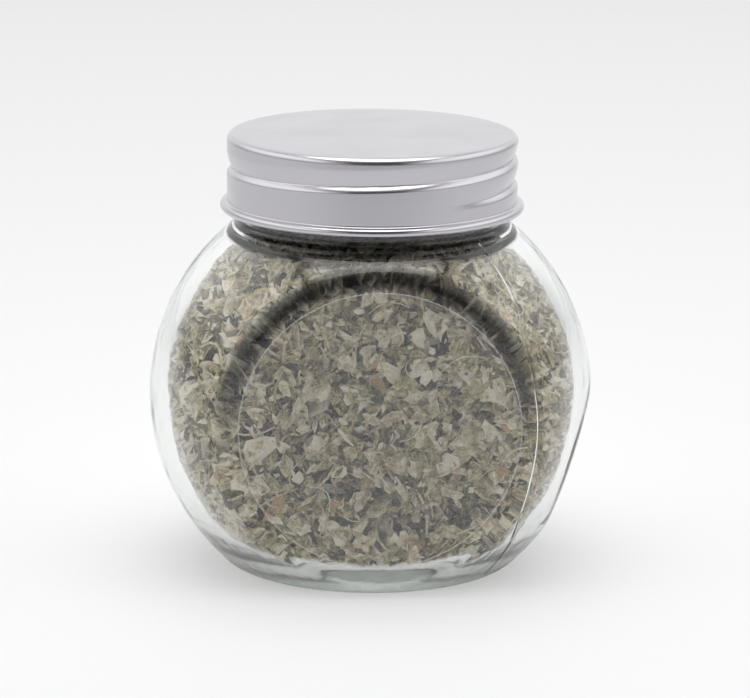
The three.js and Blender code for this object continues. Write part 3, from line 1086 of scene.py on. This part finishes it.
@dataclass(frozen=True)
class StemForm:
    """Form of the stem bits: lengths in millimetres, ranges of the random draws, tone and its spread."""

    sides: int = 6
    stations: int = 5
    length: Pair = (3.0, 11.0)
    thick: Pair = (0.12, 0.36)
    sag: float = 0.20
    taper: float = 0.35
    depth: Pair = (0.1, 1.8)
    tilt: float = 0.15
    tone: Pair = (0.80, 0.12)
    tone_range: Pair = (0.3, 0.97)


def between(a: Array, b: Array, angle: Array) -> Array:
    """Vectors turned from a towards b, each by its angle: a cos + b sin."""
    return np.cos(angle)[:, None] * a + np.sin(angle)[:, None] * b


@dataclass
class Filling:
    """The dried flakes: a dark heap (painted shade), curled leaf flakes in layers over it, crumbs and stem bits."""

    jar: GlassJar
    blade: BladeForm = BladeForm()
    crumb: CrumbForm = CrumbForm()
    stem: StemForm = StemForm()
    margin: float = 0.12 * MM
    top_z: float = 84 * MM
    flakes_a_piece: int = 3150
    pieces: int = 4
    crumbs: int = 5000
    stems: int = 640
    upper_share: float = 0.45
    upper_step: float = 1.2
    lower_from: float = 0.5
    lower_step: float = 6.0
    flake_tilt: float = math.radians(20)
    steep_share: float = 0.16
    steep_tilt: Pair = (0.6, 1.4)
    heap_depth: Pair = (4.2 * MM, 6.4 * MM)
    # Painted shade: the heap under the flakes is kept dark, for the shaded depth of the filling.
    heap_shade_tone: Pair = (0.0, 0.35)
    heap_fineness: int = 6
    deepest: float = 9 * MM
    draws_each: int = 6
    least_facing: float = 0.35
    slope_step: float = 0.2 * MM
    pull_rounds: int = 8
    pull_rate: float = 1.05
    tone: Pair = (0.60, 0.27)
    palest: float = 0.97
    hue_power: float = 1.3
    tan_share: float = 0.014
    tan_hue: float = 1.5
    # Painted shade for the flakes' colour: each flake's share, a band behind the panel's upper rim, the neck, the
    # depth.
    cover: Pair = (0.86, 1.0)
    ring_shade: float = 0.98
    ring_angle: float = 47.3
    ring_width: float = 2.0
    ring_low: float = -0.10
    ring_rise: float = 0.35
    neck_shade: float = 0.97
    neck_from: float = 34.7 * MM
    neck_over: float = 1.0 * MM
    deep_shade: float = 0.66
    deep_from: float = 0.5 * MM
    deep_over: float = 3.2 * MM

    def __post_init__(self) -> None:
        """Starts the repeatable random draws and reads the glass's inner profile by angle from straight up."""
        self.random = np.random.default_rng(SEED)
        self.finish = DriedLeaf().material()
        profile = self.jar.inside()[0]
        profile = profile[profile[:, 1] < self.jar.rim_z - 1.5 * self.jar.rim_round]
        up = profile[:, 1] - GLOBE_Z
        self.wall_angles = np.arctan2(profile[:, 0], up)
        self.wall_reach = np.hypot(profile[:, 0], up)

    def reach(self, direction: Array) -> Array:
        """Distance from the globe's centre to the inside of the glass or the level of the filling, less the margin.

        Formula: the glass's inner profile at this angle from straight up, at most level / up, cut by the flats.

        Args:
            direction: (..., 3) unit directions.

        Returns:
            (...,) lengths.
        """
        up = direction[..., 2]
        angle = np.arctan2(np.hypot(direction[..., 0], direction[..., 1]), up)
        wall = np.interp(angle, self.wall_angles, self.wall_reach) - self.margin
        level = (self.top_z - GLOBE_Z) / np.maximum(up, 1e-6)
        return self.jar.globe.flattened(np.minimum(wall, level), direction, True, self.margin)

    def excess(self, points: Array) -> Array:
        """How far points stand out past the inside of the glass, measured from the globe's centre."""
        size = np.maximum(np.linalg.norm(points, axis=-1), 1e-6)
        return size - self.reach(points / size[..., None])

    def normals(self, points: Array) -> Array:
        """Outward unit normals of the filling's outside, as the slope of excess by central differences."""
        steps = self.slope_step * np.eye(3)
        return unit(np.stack([self.excess(points + step) - self.excess(points - step) for step in steps], -1))

    def directions(self, count: int) -> Array:
        """Random unit directions, as many per area of the filling's outside everywhere."""
        many = unit(self.random.normal(size=(count * self.draws_each, 3)))
        reach = self.reach(many)
        facing = np.abs(np.sum(self.normals(many * reach[:, None]) * many, 1))
        weight = reach**2 / np.maximum(facing, self.least_facing)
        keep = self.random.random(len(many)) < weight / weight.max()
        return many[keep][:count]

    def laid(self, local: Array, depth: Array, tilt: Array) -> Array:
        """Lays pieces against the glass, each tilted, sunk to its depth and pulled in until it clears the glass.

        Formula: p = place - n (depth + pull) + R local, where R turns local z to the tilted normal and pull grows
        by the largest excess of the piece's points.

        Args:
            local: (N, V, 3) points of each piece about its own middle.
            depth: (N,) how deep its middle lies.
            tilt: (N,) tilt off the wall in radians.

        Returns:
            (N, V, 3) points round the globe's centre.
        """
        count = len(local)
        out = self.directions(count)
        place = out * self.reach(out)[:, None]
        normal = self.normals(place)
        spin, lean = self.random.random((2, count)) * TURN
        helper = np.where(np.abs(normal[:, 2:]) > 0.9, [[1.0, 0.0, 0.0]], [[0.0, 0.0, 1.0]])
        side = unit(np.cross(helper, normal))
        front = np.cross(normal, side)
        z = between(normal, between(side, front, lean), tilt)
        x = between(side, front, spin)
        x = unit(x - np.sum(x * z, 1, keepdims=True) * z)
        shape = np.einsum("nvk,nkj->nvj", local, np.stack([x, np.cross(z, x), z], 1))

        def sunk(pull: Array | float) -> Array:
            """The pieces in place, each pulled in by so much."""
            return shape + (place - normal * (depth + pull)[:, None])[:, None]

        pull = np.zeros(count)
        for _ in range(self.pull_rounds):
            over = np.maximum(self.excess(sunk(pull)).max(1), 0.0)
            pull = np.minimum(pull + over * self.pull_rate, self.deepest)
        points = sunk(pull)
        size = np.linalg.norm(points, axis=2)
        return points * np.minimum(1.0, (size - self.excess(points)) / size)[..., None]

    def corner_angles(self, count: int, sides: int, jitter: float) -> Array:
        """(count, sides) angles round each piece, uneven by up to the jitter as a share of a step."""
        return (np.arange(sides) + self.random.uniform(-jitter, jitter, (count, sides))) * TURN / sides

    def blades(self, length: Array) -> tuple[Array, Array, Array]:
        """Curled leaf flakes: thin closed blades with a ragged rim, a fold along the middle and two bends.

        Formula: z = f |y| + (a x^2 + b y^2 + c x y) / length + small random steps; the two faces part by the
        thickness inside the rim and meet on it.

        Args:
            length: (N,) lengths.

        Returns:
            (points, uv, triangles): (N, V, 3), (N, V, 2) with the rim at 1, and (F, 3) for one blade.
        """
        form, draw = self.blade, self.random
        count, rim = len(length), form.corners
        theta = self.corner_angles(count, rim, form.jitter)
        ragged = draw.uniform(*form.ragged, (count, rim))
        slender = draw.random(count) < form.slender_share
        width = length * np.where(slender, draw.uniform(*form.slender, count), draw.uniform(*form.broad, count))
        edge = np.stack([np.cos(theta) * ragged, np.sin(theta) * ragged], 2)
        ring = edge * draw.uniform(*form.ring, (count, rim, 1))
        flat = np.concatenate([edge, ring, np.zeros((count, 1, 2))], 1)
        x, y = flat[..., 0] * length[:, None] / 2, flat[..., 1] * width[:, None] / 2
        fold = draw.normal(0, form.fold, (count, 1))
        a, b, c = draw.normal(0, 1, (3, count, 1)) * np.array(form.curl)[:, None, None]
        z = fold * np.abs(y) + (a * x**2 + b * y**2 + c * x * y) / length[:, None]
        z = z + draw.normal(0, form.crumple, z.shape) * length[:, None]
        middle = np.stack([x, y, z - z.mean(1, keepdims=True)], 2)
        lift = np.zeros((count, 1, 3))
        lift[..., 2] = draw.uniform(*form.thickness, (count, 1)) * MM
        outer, inner = middle[:, :rim], middle[:, rim:]
        points = np.concatenate([outer, inner + lift, inner - lift], 1)
        uv = np.concatenate([flat, flat[:, rim:]], 1)
        here = np.arange(rim)
        top, low = here + rim, here + 2 * rim + 1
        upper = [band(here, top), fan(top, 2 * rim)]
        lower = [band(here, low), fan(low, 3 * rim + 1)]
        return points, uv, np.concatenate([*upper, *(part[:, ::-1] for part in lower)])

    def painted_shade(self, points: Array, cover: Array | float) -> Array:
        """Painted shade for each point's colour: darker deep in the heap, in the neck and behind the panel's upper
        rim.

        Formula: product of three steps down: one over the depth under the glass (painted shade of the layers above),
        one over the height in the neck (painted shadow of the lid), and a flat-topped band exp(-t^4) of the angle
        from the panel's normal about its rim, fading out below the panel's middle (painted shade behind the glass's
        rounded rim).

        Args:
            points: (V, 3) round the globe's centre.
            cover: how much of the neck's and the rim's painted shade falls on each point.

        Returns:
            (V,) from 0 to 1.
        """
        outward = unit(points)
        away = np.degrees(np.arccos(np.clip(-outward[:, 1], -1, 1)))
        upper = np.clip((outward[:, 2] - self.ring_low) / self.ring_rise, 0, 1)
        ring = self.ring_shade * upper * np.exp(-(((away - self.ring_angle) / self.ring_width) ** 4))
        neck = self.neck_shade * eased((points[:, 2] - self.neck_from) / self.neck_over)
        deep = self.deep_shade * eased((-self.excess(points) - self.deep_from) / self.deep_over)
        # Painted shade: the product is multiplied into the flakes' base colour and is not worked out from the lamps.
        return (1 - cover * ring) * (1 - cover * neck) * (1 - deep)

    def tones(self, count: int) -> Array:
        """(count, 1) tone of each flake, from dark to pale."""
        return np.clip(self.random.normal(*self.tone, count), 0.0, self.palest)[:, None]

    def hues(self, count: int) -> Array:
        """Hue of each flake: 0 green to 1 brown, and a few tan ones past 1."""
        hue = self.random.uniform(0.0, 1.0, count) ** self.hue_power
        return np.where(self.random.random(count) < self.tan_share, self.tan_hue, hue)

    def bundle(self, name: str, points: Array, faces: Array, tone: Array, uv: Array | None = None) -> None:
        """One piece made of many small closed bodies, or of one whose points each have a hue of their own.

        Args:
            name: the piece's name.
            points: (N, V, 3) round the globe's centre.
            faces: (F, 3) of one body.
            tone: (N, V) or (N, 1) tone of each point.
            uv: (N, V, 2), or None for the middle of the map everywhere.
        """
        count, corners = points.shape[:2]
        every = (faces + (np.arange(count) * corners)[:, None, None]).reshape(-1, 3)
        points = points.reshape(-1, 3)
        piece = mesh_object(name, points + CENTRE + AXIS, every, False, self.finish)
        mapped(piece, "blade", np.full((len(points), 2), 0.5) if uv is None else uv.reshape(-1, 2))
        if count > 1:
            hue = np.repeat(self.hues(count), corners)
            cover = np.repeat(self.random.uniform(*self.cover, count), corners)
        else:
            hue, cover = self.random.uniform(0, 1, corners), 1.0
        tone = np.broadcast_to(tone, (count, corners)).ravel()
        # Each point's tone, hue and painted shade go into attributes that the leaf finish reads.
        for key, value in {"tone": tone, "hue": hue, "painted_shade": self.painted_shade(points, cover)}.items():
            store = piece.data.attributes.new(key, "FLOAT", "POINT")
            store.data.foreach_set("value", value.astype(np.float32))
        on_body(piece, Body.JAR, Slot.FLAKES, "parsley_flakes")

    def build_heap(self) -> None:
        """Builds the heap under the loose flakes: a sphere's directions, each at its own depth."""
        sphere = bpy.data.meshes.new("directions")
        work = bmesh.new()
        bmesh.ops.create_icosphere(work, subdivisions=self.heap_fineness, radius=1.0)
        work.to_mesh(sphere)
        work.free()
        out = np.zeros((len(sphere.vertices), 3))
        sphere.vertices.foreach_get("co", out.ravel())
        out = unit(out)
        faces = np.zeros((len(sphere.polygons), 3), np.int32)
        sphere.polygons.foreach_get("vertices", faces.ravel())
        bpy.data.meshes.remove(sphere)
        depth = self.random.uniform(*self.heap_depth, len(out))
        points = out * (self.reach(out) - depth)[:, None]
        # The heap's dark tone is painted shade.
        self.bundle("leaf_heap", points[None], faces, self.random.uniform(*self.heap_shade_tone, (1, len(out))))

    def build_flakes(self) -> None:
        """Builds the leaf flakes, in pieces that each hold every layer.

        Formula: the share of a flake's draw under upper_share becomes its depth against the glass, times
        upper_step; past that share the depth starts anew at lower_from and grows by lower_step, in millimetres.
        """
        form, draw, count = self.blade, self.random, self.flakes_a_piece
        for number in range(self.pieces):
            length = draw.lognormal(math.log(form.length), form.length_spread, count)
            local, uv, faces = self.blades(np.clip(length, *form.length_range) * MM)
            layer = draw.random(count)
            lower = self.lower_from + (layer - self.upper_share) * self.lower_step
            depth = np.where(layer < self.upper_share, layer * self.upper_step, lower) * MM
            tilt = np.abs(draw.normal(0, self.flake_tilt, count))
            steep = draw.random(count) < self.steep_share
            points = self.laid(local, depth, np.where(steep, draw.uniform(*self.steep_tilt, count), tilt))
            tone = self.tones(count) + np.zeros(points.shape[:2])
            # Painted shade on each flake's underside.
            tone[:, 2 * form.corners + 1:] += form.under_shade_tone
            tone[:, :form.corners] += form.rim_tone
            self.bundle(f"leaf_flakes_{number + 1}", points, faces, tone, uv)

    def build_crumbs(self) -> None:
        """Builds the crumbs: small broken bits, each a ragged double pyramid."""
        form, draw = self.crumb, self.random
        count, sides = self.crumbs, form.sides
        size = draw.uniform(*form.size, count) * MM
        theta = self.corner_angles(count, sides, form.jitter)
        reach = size[:, None] * draw.uniform(*form.reach, (count, sides))
        level = draw.normal(0, form.uneven, theta.shape) * MM
        waist = np.stack([reach * np.cos(theta), reach * np.sin(theta), level], 2)
        tips = np.zeros((count, 2, 3))
        tips[..., 2] = (form.tip * (MM + size))[:, None] * [1, -1]
        here = np.arange(sides)
        faces = np.concatenate([fan(here, sides), fan(here, sides + 1)[:, ::-1]])
        local = np.concatenate([waist, tips], 1)
        points = self.laid(local, draw.uniform(*form.depth, count) * MM, draw.uniform(*form.tilt, count))
        self.bundle("leaf_crumbs", points, faces, self.tones(count))

    def build_stems(self) -> None:
        """Builds the stem bits: thin bent rods.

        Formula: centre line (s, k s^2, 0) along the length, with a ring of points round it at each station and a
        point at each end.
        """
        form, draw = self.stem, self.random
        count, sides, stations = self.stems, form.sides, form.stations
        length = draw.uniform(*form.length, (count, 1)) * MM
        thick = draw.uniform(*form.thick, (count, 1)) * MM
        s = np.linspace(-0.5, 0.5, stations)
        along = length * s
        sag = draw.normal(0, form.sag, (count, 1)) * length * (s**2 * 4)
        wide = (thick * (1 - form.taper * np.abs(s) * draw.random((count, 1))))[..., None]
        phase = round_angles(sides)
        y = sag[..., None] + wide * np.cos(phase)
        tube = np.stack([np.broadcast_to(along[..., None], y.shape), y, wide * np.sin(phase)], 3)
        ends = np.stack([along[:, [0, -1]], sag[:, [0, -1]], np.zeros((count, 2))], 2)
        local = np.concatenate([tube.reshape(count, -1, 3), ends], 1)
        rings = np.arange(stations * sides).reshape(stations, sides)
        caps = fan(rings[0], rings.size), fan(rings[-1], rings.size + 1)[:, ::-1]
        faces = np.concatenate([band(rings[1:], rings[:-1]), *caps])
        depth = draw.uniform(*form.depth, count) * MM
        points = self.laid(local, depth, np.abs(draw.normal(0, form.tilt, count)))
        tone = np.clip(draw.normal(*form.tone, (count, 1)), *form.tone_range)
        self.bundle("stem_bits", points, faces, tone)

    def build(self) -> None:
        """Builds every part of the filling."""
        self.build_heap()
        self.build_flakes()
        self.build_crumbs()
        self.build_stems()


# ---------------------------------------- studio


def right_and_up(forward: Vector) -> tuple[Vector, Vector]:
    """Level direction to the right of a view, and the up that belongs to both."""
    right = forward.cross(Vector((0.0, 0.0, 1.0))).normalized()
    return right, right.cross(forward)


@dataclass
class Studio:
    """Pale floor, soft light and the camera."""

    frame_size: tuple[int, int] = (750, 698)
    sensor: float = 36.0
    clip: Pair = (0.05, 50.0)
    pixels_per_mm: float = 4.411
    distance: float = 0.82
    elevation: float = math.radians(14.15)
    yaw: float = math.radians(3.5)
    roll: float = math.radians(0.5)
    globe_pixel: Pair = (370.9, 391.2)
    floor_radii: Pair = (0.05, 6.0)
    floor_rings: int = 24
    floor_columns: int = 96
    front: float = 0.42
    behind: float = 1.02
    behind_over: Pair = (-0.35, 0.35)
    side_low: float = 0.62
    side_high: float = 1.5
    side_rise: Pair = (0.08, 0.50)
    side_over: Pair = (0.42, 0.72)
    top: float = 3.1
    top_over: Pair = (0.86, 0.93)
    gap: float = 0.35
    gap_slope: float = 0.58
    gap_over: Pair = (0.02, 0.07)
    gap_above: Pair = (0.75, 0.60)
    opening: float = 0.09
    opening_y: Pair = (-0.55, -0.70)
    opening_x: Pair = (0.42, 0.34)
    opening_z: Pair = (0.80, 0.70)

    def floor(self) -> None:
        """Lays a large pale floor disc under the jar."""
        rings = np.concatenate([[0.0], np.geomspace(*self.floor_radii, self.floor_rings)])
        grid = swept(np.stack([rings, np.zeros(len(rings))], 1), round_angles(self.floor_columns))
        points = np.concatenate([grid[:1, 0], grid[1:].reshape(-1, 3)])
        numbers = 1 + np.arange(self.floor_rings * self.floor_columns).reshape(self.floor_rings, -1)
        faces = np.concatenate([fan(numbers[0], 0), band(numbers[:-1], numbers[1:])[:, ::-1]])
        piece = mesh_object("studio_floor", points, faces, True, PaleFloor().material())

    def sky(self) -> None:
        """Lights the room as a white tent: bright side walls, top and back, a dim front with a dark opening in it.

        Formula: by the direction (x, y, z), front to back over y, side walls over |x| that brighten with z, the
        top over z, darkened where |x| / z is near the gap between wall and top and in the tent's opening.
        """
        sheet = Sheet(bpy.data.worlds.new("studio_room"), "OutputWorld")
        bpy.context.scene.world = sheet.owner

        def blend(a: Socket, b: Socket | float, share: Socket) -> Socket:
            """a + (b - a) * share."""
            return sheet.math("ADD", a, sheet.math("MULTIPLY", sheet.math("SUBTRACT", b, a), share))

        way = sheet.add("TexCoord").outputs["Generated"]
        across = sheet.math("ABSOLUTE", sheet.part(way, "X"))
        ahead, up = sheet.part(way, "Y"), sheet.part(way, "Z")
        room = sheet.step(ahead, self.behind_over, self.front, self.behind)
        room = blend(room, sheet.step(up, self.side_rise, self.side_low, self.side_high),
                     sheet.step(across, self.side_over))
        room = blend(room, self.top, sheet.step(up, self.top_over))
        slope = sheet.math("DIVIDE", across, sheet.math("MAXIMUM", up, 0.01))
        off = sheet.math("ABSOLUTE", sheet.math("SUBTRACT", slope, self.gap_slope))
        gap = sheet.math("MAXIMUM", sheet.step(off, self.gap_over, self.gap, 1.0), sheet.step(up, self.gap_above))
        room = sheet.math("MULTIPLY", room, gap)
        opening = sheet.math("MULTIPLY", sheet.step(ahead, self.opening_y), sheet.step(across, self.opening_x))
        opening = sheet.math("MULTIPLY", opening, sheet.step(up, self.opening_z))
        glow = blend(room, self.opening, opening)
        sheet.finish(sheet.add("Background", {"Color": WHITE, "Strength": glow}).outputs["Background"])

    def camera(self) -> None:
        """Stands the camera where the globe's centre falls on its pixel.

        Formula: the line of sight to the globe's centre drops by the elevation; the optical axis is that line
        turned by (dx, dy) / focal length, both in pixels, and the camera is rolled about it.
        """
        width, height = self.frame_size
        globe = Vector((0.0, AXIS_Y, GLOBE_Z))
        away = Vector((-math.sin(self.yaw), -math.cos(self.yaw), 0.0)) * self.distance
        eye = globe + away + Vector((0.0, 0.0, self.distance * math.tan(self.elevation)))
        sight = globe - eye
        focal = self.pixels_per_mm / MM * sight.length
        forward = sight.normalized()
        right, up = right_and_up(forward)
        dx, dy = self.globe_pixel[0] - width / 2, self.globe_pixel[1] - height / 2
        axis = (forward - right * (dx / focal) + up * (dy / focal)).normalized()
        right, up = right_and_up(axis)
        cos, sin = math.cos(self.roll), math.sin(self.roll)
        data = bpy.data.cameras.new("camera")
        data.sensor_width = self.sensor
        data.sensor_fit = "HORIZONTAL"
        data.lens = focal * self.sensor / width
        data.clip_start, data.clip_end = self.clip
        camera = bpy.data.objects.new("camera", data)
        turn = Matrix((right * cos + up * sin, up * cos - right * sin, -axis)).transposed()
        camera.matrix_world = Matrix.Translation(eye) @ turn.to_4x4()
        bpy.context.scene.collection.objects.link(camera)
        bpy.context.scene.camera = camera

    def build(self) -> None:
        """Sets up the whole studio."""
        self.camera()
        self.floor()
        self.sky()
        bpy.context.scene.view_settings.view_transform = "Standard"


def main() -> None:
    """Builds the jar and the studio."""
    logging.basicConfig(level=logging.INFO, format="%(name)s %(message)s")
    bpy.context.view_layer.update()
    Studio().build()
    jar = GlassJar()
    jar.build()
    Filling(jar).build()
    ScrewLid().build()
    LidLiner().dress()
    PanelLabel().build()


if __name__ == "__main__":
    main()
